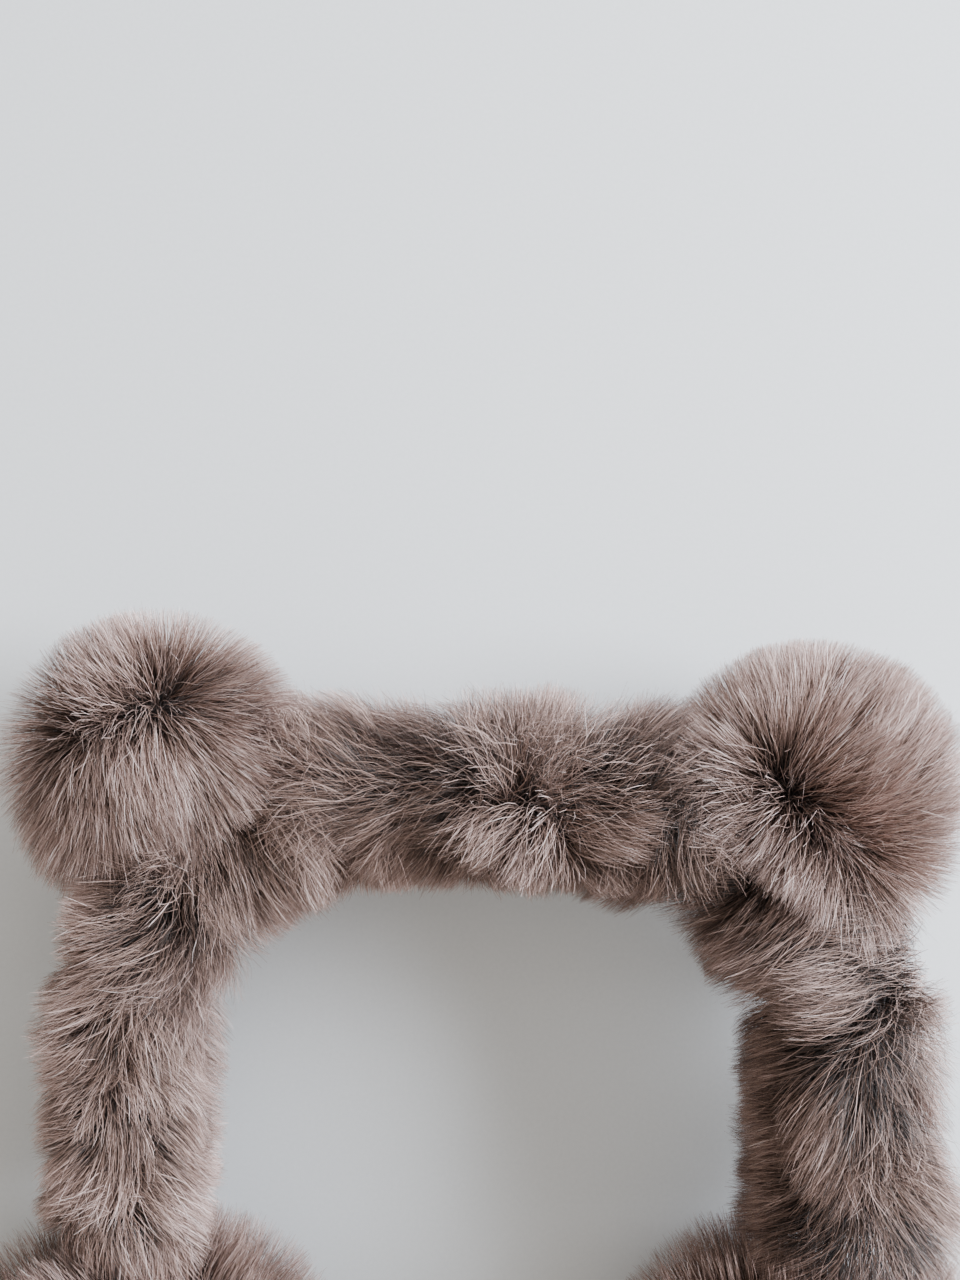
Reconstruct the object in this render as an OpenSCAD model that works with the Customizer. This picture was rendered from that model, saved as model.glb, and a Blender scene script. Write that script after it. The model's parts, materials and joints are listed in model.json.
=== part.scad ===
// Furry animal ears headband of the ear-warmer kind, lying flat on a table.
// A sprung strip bent into a square-shouldered arch runs inside a foam sheath and a
// long-pile fur sleeve. Two plush ears are sewn to its shoulders, and its two ends
// plug into sockets that carry swivelling, fur-covered ear pads.
//
// Millimetres. +Z is up from the table, +Y points to the ears, +X to the right side.
// The origin is on the table, under the middle of the whole headband.

/* [Arch] */
// Distance between the centre lines of the two legs
arch_w = 190; // [180:1:204]
// Bend radius of the shoulders, on the centre line
shoulder_r = 50; // [46:1:54]
// Length of a straight leg below the shoulder, to the end of its fur sleeve
leg_len = 57.5; // [50:0.5:70]
// Half width of the crown section between the two flexing places
crown_half = 24; // [18:1:30]
// Height of the core of the arch above the table
core_z = 38; // [36:1:42]

/* [Spring strip] */
// Thickness of the sprung strip
strip_t = 1.0; // [0.6:0.1:1.2]
// Width of the sprung strip
strip_w = 14; // [10:1:15]

/* [Foam sheath] */
// Thickness of the foam sheath, across the arch
sheath_t = 12; // [8:1:14]
// Width of the foam sheath, up from the table
sheath_w = 24; // [20:1:26]

/* [Fur sleeve] */
// Thickness of the furry band seen from above
sleeve_t = 44; // [40:1:48]
// Height of the furry band above the table
sleeve_h = 70; // [64:1:74]

/* [Ears] */
// Outer radius of an ear, to the tips of its fur
ear_r = 40; // [34:1:44]
// Thickness of an ear, to the tips of its fur
ear_t = 48; // [40:1:50]
// Lean of an ear away from straight up
ear_lean = 37; // [32:1:44]
// How far an ear bends to the front or the back
ear_bend = 25; // [10:1:25]

/* [Pads] */
// Outer radius of a pad, to the tips of its fur
pad_r = 50; // [46:1:50]
// Thickness of a pad, to the tips of its fur
pad_t = 100; // [90:1:104]
// Distance from the end of the sleeve down to the pad's pin
pad_drop = 53.5; // [53:0.5:60]
// Radius of the moulded plate inside a pad
plate_r = 30; // [26:1:30]
// Radius of the pin that a pad swivels on
pin_r = 2; // [1.5:0.1:2.5]

/* [Motion] */
// How far each side of the arch springs outwards
flex_out = 12; // [6:1:12]
// How far a pad swivels each way
pad_swing = 10; // [4:1:10]

/* [Hidden] */
$fn = 96;
clear = 0.3;          // gap between neighbours that move, and round loose inner pieces
run_clear = 0.05;     // radial play of the pin and the rivet in their bores
seam = 0.2;           // gap beside a sewn or clamped piece
spare_turn = 1;       // degrees of room beyond the end of a joint's travel
over = 1;             // how far a cutting shape reaches past what it cuts

sheath_round = 4;     // corner radius of the foam sheath
sleeve_round = 19;    // corner radius of the furry band
binding_len = 2.6;    // length of the tape binding along the leg

shoulder_x = arch_w / 2 - shoulder_r;
leg_x = arch_w / 2;
pin_y = -leg_len - pad_drop;

// Ears: a half disc that stands on the outer face of the shoulder
root_gap = 0.7;
root_r = shoulder_r + sleeve_t / 2 + root_gap;
ear_pos = [shoulder_x + root_r * sin(ear_lean), root_r * cos(ear_lean)];
ear_core_r = 24;
ear_core_t = 18;
tape_t = 4.8;
tape_depth = 3.2;
tape_span = 20;
tape_lift = 1.6;      // the tape's foot above the ear's root
stuffing_lift = 5.6;  // the stuffing's foot above the ear's root
bend_slope = tan(ear_bend + 1.5 * spare_turn);

// Pads, from the pin inwards to the head and outwards from it
pad_lean_in = 7;      // the pad's middle sits this far inside the pin
plate_gap = 9;        // pin to the plate's outer face
plate_t = 2.5;
pad_foam_t = 15;
foam_round = 5;
hem_r = 1.2;
lug_t = 3;
lug_r = 5.5;
eye_r = 5;
eye_w = 11.4;
pin_head_r = pin_r + 1.4;
pin_head_t = 1.2;
pocket_r = plate_r + 2 * hem_r + clear + 0.5;
pocket_depth = 17;
foam_pocket = pad_foam_t + 0.5 + clear;
pad_round = pad_r - 4;
slit_half = pad_r * sin(pad_swing) + strip_t / 2 + 3 * clear;

// End sockets
neck_t = 5;
neck_w = 18;
neck_len = 31;
neck_low = lug_r + 1.5;   // where the full width of the neck starts, above the pin
socket_grip = 11.5;
rivet_y = pin_y + 25;
rivet_r = 1.5;
rivet_head_r = 2.8;
rivet_head_t = 1;
strip_end_y = pin_y + neck_len - socket_grip;

// The whole headband is centred front to back on the origin
top_y = ear_pos[1] + ear_r;
low_y = pin_y - pad_r;
lay_y = -(top_y + low_y) / 2;

// ---- placing -------------------------------------------------------------------

// Builds the right side as drawn and the left side as its mirror image
module on_side(side) {
    translate([0, lay_y, 0])
        mirror([side < 0 ? 1 : 0, 0, 0])
            children();
}

// Sweeps a cross-section (across the band, up from the table) along the arch
module along_top(from_x, to_x) {
    translate([from_x, shoulder_r, 0])
        rotate([90, 0, 90])
            linear_extrude(to_x - from_x) children();
}

module along_shoulder() {
    translate([shoulder_x, 0, 0])
        rotate_extrude(angle = 90)
            translate([shoulder_r, 0]) children();
}

module along_leg(from_y, to_y) {
    translate([leg_x, from_y, 0])
        rotate([90, 0, 0])
            linear_extrude(from_y - to_y) children();
}

// Rectangle with round corners, centred
module round_rect(w, h, r) {
    square([w - 2 * r, h], center = true);
    square([w, h - 2 * r], center = true);
    for (x = [-1, 1], y = [-1, 1])
        translate([x * (w / 2 - r), y * (h / 2 - r)]) circle(r);
}

// Disc on the Z axis whose edge is rounded to the radius r
module round_disc(radius, thickness, r) {
    rotate_extrude()
        intersection() {
            round_rect(2 * radius, thickness, r);
            translate([0, -thickness / 2]) square([radius, thickness]);
        }
}

// ---- cross-sections --------------------------------------------------------------

module strip_section() {
    translate([0, core_z]) square([strip_t, strip_w], center = true);
}

module sheath_outline(grow) {
    translate([0, core_z])
        round_rect(sheath_t + 2 * grow, sheath_w + 2 * grow, sheath_round);
}

module sheath_section() {
    difference() {
        sheath_outline(0);
        strip_slot();
    }
}

module strip_slot() {
    translate([0, core_z])
        square([strip_t + 2 * clear, strip_w + 2 * clear], center = true);
}

module sleeve_section() {
    difference() {
        translate([0, sleeve_h / 2]) round_rect(sleeve_t, sleeve_h, sleeve_round);
        sheath_outline(clear);
    }
}

// Room above the flexing place, so that a side can spring outwards
module flex_relief() {
    for (side = [-1, 1])
        mirror([side < 0 ? 1 : 0, 0, 0])
            translate([crown_half - clear / 2, shoulder_r, -over])
                rotate([0, 0, flex_out + spare_turn])
                    cube([sleeve_t, sleeve_t, sleeve_h + 2 * over]);
}

// ---- crown -------------------------------------------------------------------------

module crown_section() {
    translate([0, lay_y, 0])
        difference() {
            along_top(-crown_half + clear / 2, crown_half - clear / 2) children();
            flex_relief();
        }
}

module crown_spring() {
    color("silver") crown_section() strip_section();
}

module crown_foam() {
    color("whitesmoke") crown_section() sheath_section();
}

module crown_fur() {
    color("rosybrown") crown_section() sleeve_section();
}

// ---- sides -------------------------------------------------------------------------

module side_spring(side) {
    color("silver")
        on_side(side) {
            difference() {
                union() {
                    along_top(crown_half + clear, shoulder_x) strip_section();
                    along_shoulder() strip_section();
                    along_leg(0, strip_end_y) strip_section();
                }
                rivet_bore();
            }
        }
}

module side_foam(side) {
    color("whitesmoke")
        on_side(side) {
            along_top(crown_half + clear, shoulder_x) sheath_section();
            along_shoulder() sheath_section();
            along_leg(0, -leg_len + binding_len + 2 * seam) sheath_section();
        }
}

module shoulder_fur(side) {
    color("rosybrown")
        on_side(side) {
            along_top(crown_half + clear, shoulder_x) sleeve_section();
            along_shoulder() sleeve_section();
        }
}

module leg_fur(side) {
    color("rosybrown")
        on_side(side)
            along_leg(0, -leg_len) sleeve_section();
}

// Tape bound round the strip, which closes the end of the sleeve
module sleeve_binding(side) {
    color("dimgray")
        on_side(side)
            along_leg(-leg_len + binding_len + seam, -leg_len + seam) sheath_section();
}

module rivet_bore() {
    translate([leg_x, rivet_y, core_z])
        rotate([0, 90, 0])
            cylinder(h = neck_t + 2 * over, r = rivet_r + run_clear, center = true);
}

// Moulded socket on the end of the strip, with the eye that the pad swivels on
module end_socket(side) {
    color("dimgray")
        on_side(side)
            difference() {
                union() {
                    translate([leg_x - neck_t / 2, pin_y + neck_low, core_z - neck_w / 2])
                        cube([neck_t, neck_len - neck_low, neck_w]);
                    translate([leg_x - neck_t / 2, pin_y, core_z - eye_w / 2])
                        cube([neck_t, neck_low + over, eye_w]);
                    translate([leg_x, pin_y, core_z])
                        cylinder(h = eye_w, r = eye_r, center = true);
                }
                translate([leg_x, pin_y, core_z])
                    cylinder(h = eye_w + over, r = pin_r + run_clear, center = true);
                translate([leg_x - strip_t / 2 - seam / 2, strip_end_y - clear,
                           core_z - strip_w / 2 - seam / 2])
                    cube([strip_t + seam, socket_grip + over, strip_w + seam]);
                rivet_bore();
            }
}

// Rivet through the socket and the strip, with a head on each face
module socket_rivet(side) {
    color("silver")
        on_side(side)
            translate([leg_x, rivet_y, core_z])
                rotate([0, 90, 0]) {
                    cylinder(h = neck_t + 2 * seam, r = rivet_r, center = true);
                    for (face = [-1, 1])
                        translate([0, 0, face * (neck_t / 2 + rivet_head_t / 2 + seam / 2)])
                            cylinder(h = rivet_head_t, r = rivet_head_r, center = true);
                }
}

// ---- pads --------------------------------------------------------------------------

// Puts the Z axis of a pad piece along X, through the middle of the pad
module pad_axis(side) {
    on_side(side)
        translate([leg_x, pin_y, core_z])
            rotate([0, 90, 0])
                children();
}

// Moulded plate that carries the pad, with two lugs for its pin
module pad_plate(side) {
    color("dimgray")
        on_side(side)
            difference() {
                union() {
                    translate([leg_x - plate_gap - plate_t, pin_y, core_z])
                        rotate([0, 90, 0])
                            cylinder(h = plate_t, r = plate_r);
                    for (end = [-1, 1])
                        translate([leg_x, pin_y, core_z + end * (eye_w / 2 + clear + lug_t / 2)]) {
                            cylinder(h = lug_t, r = lug_r, center = true);
                            translate([-(plate_gap + over) / 2, 0, 0])
                                cube([plate_gap + over, 2 * lug_r, lug_t], center = true);
                        }
                }
                translate([leg_x, pin_y, core_z])
                    cylinder(h = 2 * plate_r, r = pin_r + run_clear, center = true);
            }
}

// Headed pin that a pad swivels on
module pad_pin(side) {
    pin_half = eye_w / 2 + clear + lug_t + seam;
    color("silver")
        on_side(side)
            translate([leg_x, pin_y, core_z]) {
                cylinder(h = 2 * pin_half, r = pin_r, center = true);
                for (end = [-1, 1])
                    translate([0, 0, end * (pin_half + pin_head_t / 2 - seam / 2)])
                        cylinder(h = pin_head_t, r = pin_head_r, center = true);
            }
}

module pad_foam(side) {
    color("whitesmoke")
        pad_axis(side)
            translate([0, 0, -plate_gap - plate_t - pad_foam_t / 2])
                round_disc(plate_r + hem_r, pad_foam_t, foam_round);
}

// Elastic cord in the hem of the covers, drawn tight round the edge of the plate
module pad_hem_elastic(side) {
    color("black")
        pad_axis(side)
            translate([0, 0, -plate_gap - plate_t / 2])
                rotate_extrude()
                    translate([plate_r + hem_r + clear, 0]) circle(hem_r);
}

// Outer form of a pad: a furry drum with a round edge, pressed flat where it lies
module pad_form() {
    intersection() {
        translate([leg_x - pad_lean_in, pin_y, core_z])
            rotate([0, 90, 0])
                round_disc(pad_r, pad_t, pad_round);
        translate([0, pin_y - 2 * pad_r, 0])
            cube([2 * leg_x, 4 * pad_r, 4 * pad_r]);
    }
}

// Slit that the strip comes down through, wide enough for the pad to swivel
module strip_slit() {
    translate([leg_x - slit_half, pin_y, core_z - strip_w / 2 - over])
        cube([2 * slit_half, pad_r + over, strip_w + 2 * over]);
}

// Fur cover on the side that touches the head, over the pad foam
module pad_inner_fur(side) {
    color("rosybrown")
        on_side(side)
            difference() {
                pad_form();
                translate([leg_x - plate_gap, pin_y - 2 * pad_r, -over])
                    cube([2 * pad_t, 4 * pad_r, 4 * pad_r]);
                translate([leg_x - plate_gap - plate_t - foam_pocket, pin_y, core_z])
                    rotate([0, 90, 0])
                        cylinder(h = pad_t, r = pocket_r);
                strip_slit();
            }
}

// Fur cover on the outside, with a pocket for the swivel and a slit for the strip
module pad_outer_fur(side) {
    color("rosybrown")
        on_side(side)
            difference() {
                pad_form();
                translate([leg_x - plate_gap - 2 * pad_t, pin_y - 2 * pad_r, -over])
                    cube([2 * pad_t, 4 * pad_r, 4 * pad_r]);
                translate([leg_x - 2 * plate_gap, pin_y, core_z])
                    rotate([0, 90, 0])
                        cylinder(h = plate_gap + pocket_depth, r = pocket_r);
                strip_slit();
            }
}

// ---- ears --------------------------------------------------------------------------

// Everything below the ear's root: the shoulder, and the room the ear bends into
module below_root(step_in, notch) {
    reach = ear_t;
    tape_top = tape_depth + tape_lift + clear;
    translate([shoulder_x, 0, core_z])
        rotate_extrude()
            polygon(concat(
                [[0, -reach], [root_r + step_in + reach * bend_slope, -reach]],
                notch
                    ? [[root_r + tape_t / 2 * bend_slope + clear, -tape_t / 2 - clear],
                       [root_r + tape_top, -tape_t / 2 - clear],
                       [root_r + tape_top, tape_t / 2 + clear],
                       [root_r + tape_t / 2 * bend_slope + clear, tape_t / 2 + clear]]
                    : [[root_r + step_in, 0]],
                [[root_r + step_in + reach * bend_slope, reach], [0, reach]]
            ));
}

// Half disc of fur, front or back, hollow where the stuffing sits
module ear_panel(side, face) {
    color("rosybrown")
        on_side(side)
            difference() {
                translate([ear_pos[0], ear_pos[1], core_z])
                    round_disc(ear_r, ear_t, ear_t / 2 - 1);
                translate([0, 0, face > 0 ? core_z - ear_t : core_z])
                    cube([2 * leg_x, 2 * leg_x, ear_t]);
                translate([ear_pos[0], ear_pos[1], core_z])
                    round_disc(ear_core_r + clear, ear_core_t + 2 * clear, ear_core_t / 2);
                below_root(0, true);
            }
}

module ear_stuffing(side) {
    color("whitesmoke")
        on_side(side)
            difference() {
                translate([ear_pos[0], ear_pos[1], core_z])
                    round_disc(ear_core_r, ear_core_t, ear_core_t / 2 - clear);
                below_root(stuffing_lift, false);
            }
}

// Folded tape that closes the ear's root and is sewn to the sleeve
module ear_root_tape(side) {
    color("dimgray")
        on_side(side)
            translate([shoulder_x, 0, core_z])
                rotate([0, 0, 90 - ear_lean - tape_span])
                    rotate_extrude(angle = 2 * tape_span)
                        translate([root_r + tape_lift, -tape_t / 2])
                            square([tape_depth, tape_t]);
}

// ---- nodes -------------------------------------------------------------------------

crown_spring();
crown_foam();
crown_fur();
side_spring(-1);  // left_spring
side_spring(1);  // right_spring
side_foam(-1);  // left_foam
side_foam(1);  // right_foam
shoulder_fur(-1);  // left_shoulder_fur
shoulder_fur(1);  // right_shoulder_fur
leg_fur(-1);  // left_leg_fur
leg_fur(1);  // right_leg_fur
sleeve_binding(-1);  // left_sleeve_binding
sleeve_binding(1);  // right_sleeve_binding
end_socket(-1);  // left_end_socket
end_socket(1);  // right_end_socket
socket_rivet(-1);  // left_socket_rivet
socket_rivet(1);  // right_socket_rivet
pad_plate(-1);  // left_pad_plate
pad_plate(1);  // right_pad_plate
pad_pin(-1);  // left_pad_pin
pad_pin(1);  // right_pad_pin
pad_foam(-1);  // left_pad_foam
pad_foam(1);  // right_pad_foam
pad_hem_elastic(-1);  // left_pad_hem_elastic
pad_hem_elastic(1);  // right_pad_hem_elastic
pad_inner_fur(-1);  // left_pad_inner_fur
pad_inner_fur(1);  // right_pad_inner_fur
pad_outer_fur(-1);  // left_pad_outer_fur
pad_outer_fur(1);  // right_pad_outer_fur
ear_panel(-1, 1);  // left_ear_front
ear_panel(1, 1);  // right_ear_front
ear_panel(-1, -1);  // left_ear_back
ear_panel(1, -1);  // right_ear_back
ear_stuffing(-1);  // left_ear_stuffing
ear_stuffing(1);  // right_ear_stuffing
ear_root_tape(-1);  // left_ear_root_tape
ear_root_tape(1);  // right_ear_root_tape
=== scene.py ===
# %% [markdown]
# # A furry animal ears headband
#
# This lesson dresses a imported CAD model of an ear-warmer headband: a sprung arch in a fur sleeve,
# two plush bear ears on its shoulders, and two round furry ear pads at its ends. The CAD model knows
# where everything is and how it moves. Here we only make it look like what it is: knitted backing
# cloth, stuffed bodies, and hundreds of thousands of soft fibres.
#
# The frame comes first. Every place below is read from it, so nothing has to be fitted by eye.

# %% The frame
import json
import math

import bmesh
import bpy
import numpy as np
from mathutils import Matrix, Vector, kdtree


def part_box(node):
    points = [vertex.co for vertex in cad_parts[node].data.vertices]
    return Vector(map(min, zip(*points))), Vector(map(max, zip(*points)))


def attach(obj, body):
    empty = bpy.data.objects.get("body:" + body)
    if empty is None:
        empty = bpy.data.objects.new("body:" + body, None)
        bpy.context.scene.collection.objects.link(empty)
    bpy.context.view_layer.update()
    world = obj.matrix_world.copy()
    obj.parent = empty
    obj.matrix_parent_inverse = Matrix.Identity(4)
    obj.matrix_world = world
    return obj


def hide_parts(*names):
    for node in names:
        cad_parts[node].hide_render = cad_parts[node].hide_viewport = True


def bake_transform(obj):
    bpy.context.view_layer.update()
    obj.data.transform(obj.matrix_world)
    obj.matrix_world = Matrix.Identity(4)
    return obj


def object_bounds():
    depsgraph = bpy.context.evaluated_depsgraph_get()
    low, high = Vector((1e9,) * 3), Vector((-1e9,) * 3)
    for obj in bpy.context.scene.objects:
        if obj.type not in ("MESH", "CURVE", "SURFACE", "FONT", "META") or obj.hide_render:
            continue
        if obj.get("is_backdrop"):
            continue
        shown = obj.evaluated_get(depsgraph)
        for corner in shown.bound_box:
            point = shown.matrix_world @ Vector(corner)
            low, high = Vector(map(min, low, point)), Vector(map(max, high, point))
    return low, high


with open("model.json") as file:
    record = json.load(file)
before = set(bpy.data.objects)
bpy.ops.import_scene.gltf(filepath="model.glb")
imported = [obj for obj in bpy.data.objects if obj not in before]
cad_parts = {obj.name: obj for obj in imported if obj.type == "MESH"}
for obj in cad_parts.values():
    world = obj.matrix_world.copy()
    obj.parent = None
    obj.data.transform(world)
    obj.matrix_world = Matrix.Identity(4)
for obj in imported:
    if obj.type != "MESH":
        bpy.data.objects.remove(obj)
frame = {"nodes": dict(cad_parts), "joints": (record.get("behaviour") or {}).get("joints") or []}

MM = 0.001
cad_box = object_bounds()
joints = {joint["name"]: joint for joint in frame["joints"]}
SIDES = {"left": -1.0, "right": 1.0}

# %% [markdown]
# ## The line of the arch
#
# The headband's core is a flat strip bent to a square-shouldered arch. Fur and cloth both need to
# know its line: how far along it they are, which way is outwards, and how wide the foam is. The
# strip could be traced from its mesh, but it is only a straight top, a quarter circle and a straight
# leg, so three corners of CAD boxes give the whole line exactly.

# %% The line of the arch


def middle(node):
    """The middle of a CAD node's box, in metres."""
    low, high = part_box(node)
    return (np.array(low) + np.array(high)) / 2


leg_low, leg_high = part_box("right_leg_fur")
LEG_X = float(middle("right_leg_fur")[0])
SHOULDER_Y = float(leg_high.y)
SLEEVE_END_Y = float(leg_low.y)
CROWN_Y = float(middle("crown_spring")[1])
CORE_Z = float(middle("crown_spring")[2])
SHOULDER_R = CROWN_Y - SHOULDER_Y
SHOULDER_X = LEG_X - SHOULDER_R
FLEX_X = float(joints["right_side_flex"]["pos_m"][0])
foam_low, foam_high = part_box("crown_foam")
FOAM_HALF_T = (foam_high.y - foam_low.y) / 2
FOAM_HALF_W = (foam_high.z - foam_low.z) / 2
ARC_LENGTH = math.pi / 2 * SHOULDER_R
LEG_LENGTH = SHOULDER_Y - SLEEVE_END_Y
ARCH_HALF = SHOULDER_X + ARC_LENGTH + LEG_LENGTH


def arch_line(along):
    """Centre point and outward direction of the right half, for distances from the crown's middle."""
    turn = np.clip((along - SHOULDER_X) / SHOULDER_R, 0, math.pi / 2)
    past = np.clip(along - SHOULDER_X - ARC_LENGTH, 0, None)
    outward = np.stack([np.sin(turn), np.cos(turn), np.zeros_like(turn)], axis=-1)
    centre = outward * SHOULDER_R
    centre[..., 0] += np.minimum(along, SHOULDER_X)
    centre[..., 1] += SHOULDER_Y - past
    centre[..., 2] = CORE_Z
    return centre, outward


print("half the arch is", round(ARCH_HALF / MM, 1), "mm long")

# %% [markdown]
# ## Small tools
#
# Three helpers carry the rest of the lesson. One turns arrays into a mesh in a single step, which
# matters when a mesh has nearly a hundred thousand faces. One reads a mesh back as arrays. One adds a
# shader node with its settings and its links, so that a material reads like a recipe.

# %% Meshes from arrays and back


def mesh_object(name, points, faces, materials, face_material=None, smooth=True):
    """A mesh object from an array of points and an array of quads or triangles."""
    mesh = bpy.data.meshes.new(name)
    corners = faces.shape[1]
    mesh.vertices.add(len(points))
    mesh.vertices.foreach_set("co", np.ascontiguousarray(points, np.float32).ravel())
    mesh.loops.add(faces.size)
    mesh.loops.foreach_set("vertex_index", np.ascontiguousarray(faces, np.int32).ravel())
    mesh.polygons.add(len(faces))
    mesh.polygons.foreach_set("loop_start", np.arange(0, faces.size, corners, dtype=np.int32))
    mesh.polygons.foreach_set("use_smooth", np.full(len(faces), smooth))
    for material in materials:
        mesh.materials.append(material)
    if face_material is not None:
        mesh.polygons.foreach_set("material_index", np.ascontiguousarray(face_material, np.int32))
    mesh.update(calc_edges=True)
    obj = bpy.data.objects.new(name, mesh)
    bpy.context.scene.collection.objects.link(obj)
    return obj


def read_points(mesh, normals=False):
    """The vertices of a mesh, or their normals, as an array."""
    out = np.empty(len(mesh.vertices) * 3, np.float32)
    if normals:
        mesh.vertex_normals.foreach_get("vector", out)
    else:
        mesh.vertices.foreach_get("co", out)
    return out.reshape(-1, 3).astype(float)


def unit(vectors):
    """Vectors scaled to a length of one."""
    return vectors / np.maximum(np.linalg.norm(vectors, axis=-1, keepdims=True), 1e-9)


# %% Colours and shader nodes


def linear(hex_colour):
    """An sRGB hex colour as the linear RGBA that a shader wants."""
    channels = [int(hex_colour[i:i + 2], 16) / 255 for i in (0, 2, 4)]
    bent = [c / 12.92 if c <= 0.04045 else ((c + 0.055) / 1.055) ** 2.4 for c in channels]
    return (*bent, 1.0)


def new_material(name, **settings):
    """A material with a Principled shader whose sockets are set by name."""
    material = bpy.data.materials.new(name)
    material.use_nodes = True
    shader = material.node_tree.nodes["Principled BSDF"]
    for socket, value in settings.items():
        shader.inputs[socket.replace("_", " ")].default_value = value
    return material


def add(material, kind, links=None, inputs=None, **settings):
    """Adds one shader node. links maps its inputs to (node, output); inputs sets plain values."""
    node = material.node_tree.nodes.new(kind)
    for key, value in settings.items():
        setattr(node, key, value)
    for key, value in (inputs or {}).items():
        node.inputs[key].default_value = value
    for key, (source, output) in (links or {}).items():
        material.node_tree.links.new(source.outputs[output], node.inputs[key])
    return node


def plug(material, source, output, socket):
    """Links a node into the material's Principled shader."""
    shader = material.node_tree.nodes["Principled BSDF"]
    material.node_tree.links.new(source.outputs[output], shader.inputs[socket])


# %% [markdown]
# ## The finish of the fibres
#
# The pile is modacrylic: solution-dyed fibres, taupe at the root and frosted towards the tip. Its
# dark roots are partly that dye and partly painted shade deep in the pile, and its pale tips partly
# frosting and partly a painted highlight. Dark roots and pale tips are what make fur look deep, and
# no two neighbours are quite the same shade.
#
# A real fibre is about 0.04 mm thick and a ribbon here is about 0.2 mm wide, which is still far finer
# than any texture that would cover the whole coat. So the shade is carried by the faces: a ladder of
# shades from root to tip, and each short stretch of a fibre picks its rung. Every rung is a plain
# Principled shader, set on its own sockets. Modacrylic has an IOR near 1.52 and a satin surface,
# with a trace of sheen from the crimp that is too fine to model.

# %% Modacrylic fibre, a ladder of shades from root to tip
# The low rungs are partly painted shade deep in the pile, the top ones partly a painted highlight.
FIBRE_SHADES = ["130e0b", "231a15", "413129", "624d43", "846b60", "a58a80", "c8afa6", "ead8d1"]

fibre_materials = [
    new_material(
        f"modacrylic_fibre_{rung}",
        Base_Color=linear(shade),
        Roughness=0.52,
        IOR=1.52,
        Specular_IOR_Level=0.28,
        Sheen_Weight=0.06,
        Sheen_Roughness=0.45,
    )
    for rung, shade in enumerate(FIBRE_SHADES)
]
print(len(fibre_materials), "shades of fibre")

# %% [markdown]
# ## The knitted backing
#
# Faux fur is knitted: the pile stands on a thin jersey, dyed to match the roots so that a parting
# never shows white. Seen through the fur it only has to be dark and dull, but it is a cloth, so it
# gets a knit: rows of loops about 1.3 mm apart, drawn with two crossed waves.

# %% Polyester jersey backing
LOOP = 1.3 * MM
WAVE_TURN = math.pi / 10    # the wave texture's scale that puts its bands one unit apart


def cloth_material(name, dark, light, loop, roughness, directions=("X", "Y")):
    """Cloth: two crossed waves for its loops or threads, and a slow noise for uneven dye."""
    material = new_material(name, Sheen_Weight=0.3, Sheen_Roughness=0.5, IOR=1.5)
    place = add(material, "ShaderNodeTexCoord")
    wales, courses = (
        add(
            material, "ShaderNodeTexWave", {"Vector": (place, "Object")},
            {"Scale": WAVE_TURN / loop, "Distortion": 1.5, "Detail": 1.0},
            bands_direction=direction,
        )
        for direction in directions
    )
    loops = add(
        material, "ShaderNodeMath", {0: (wales, "Fac"), 1: (courses, "Fac")}, operation="MULTIPLY"
    )
    dye = add(
        material, "ShaderNodeTexNoise", {"Vector": (place, "Object")},
        {"Scale": 1 / (12 * MM), "Detail": 3.0},
    )
    blend = add(
        material, "ShaderNodeMath", {0: (loops, 0), 1: (dye, "Fac")}, operation="MULTIPLY"
    )
    colours = add(material, "ShaderNodeValToRGB", {"Fac": (blend, 0)})
    colours.color_ramp.elements[0].color = linear(dark)
    colours.color_ramp.elements[1].color = linear(light)
    colours.color_ramp.elements[1].position = 0.6
    bump = add(
        material, "ShaderNodeBump", {"Height": (loops, 0)}, {"Strength": 0.6, "Distance": 0.3 * MM}
    )
    rough = add(
        material, "ShaderNodeMapRange", {"Value": (dye, "Fac")},
        {"To Min": roughness - 0.08, "To Max": roughness + 0.08},
    )
    plug(material, colours, "Color", "Base Color")
    plug(material, rough, "Result", "Roughness")
    plug(material, bump, "Normal", "Normal")
    return material


backing_jersey = cloth_material("polyester_jersey_backing", "241a16", "4a3b34", LOOP, 0.85)

# %% [markdown]
# ## The sleeve's backing
#
# Under the fur the sleeve is a tube of jersey drawn over a flat foam sheath. A cylinder would do as
# a stand-in, but the cloth is cut a little too long, so it gathers into soft rolls across the band,
# and those rolls are what throw the fur into tufts. The tube is swept along the line of the arch
# with its section pulled in and out by a few waves.
#
# The tube is made in three lengths a side: half of the crown, the shoulder, and the leg.

# %% Jersey tubes
BACKING_T = 2.0 * MM
AROUND = 40
STRETCHES = {
    "crown": (0.0, SHOULDER_X),
    "shoulder": (SHOULDER_X, SHOULDER_X + ARC_LENGTH),
    "leg": (SHOULDER_X + ARC_LENGTH, ARCH_HALF),
}


def gathers(along, side):
    """How much the tube swells and pinches along the band, about one roll every 24 mm."""
    roll = np.sin(along / (24 * MM) * 2 * math.pi + 0.8 * side)
    slow = np.sin(along / (61 * MM) * 2 * math.pi + 1.7 * side)
    return 1 + 0.07 * roll + 0.05 * slow


def squarish(wave):
    """Bends a circle's sine or cosine so that the section becomes a rounded rectangle."""
    return np.sign(wave) * np.abs(wave) ** 0.65


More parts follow.
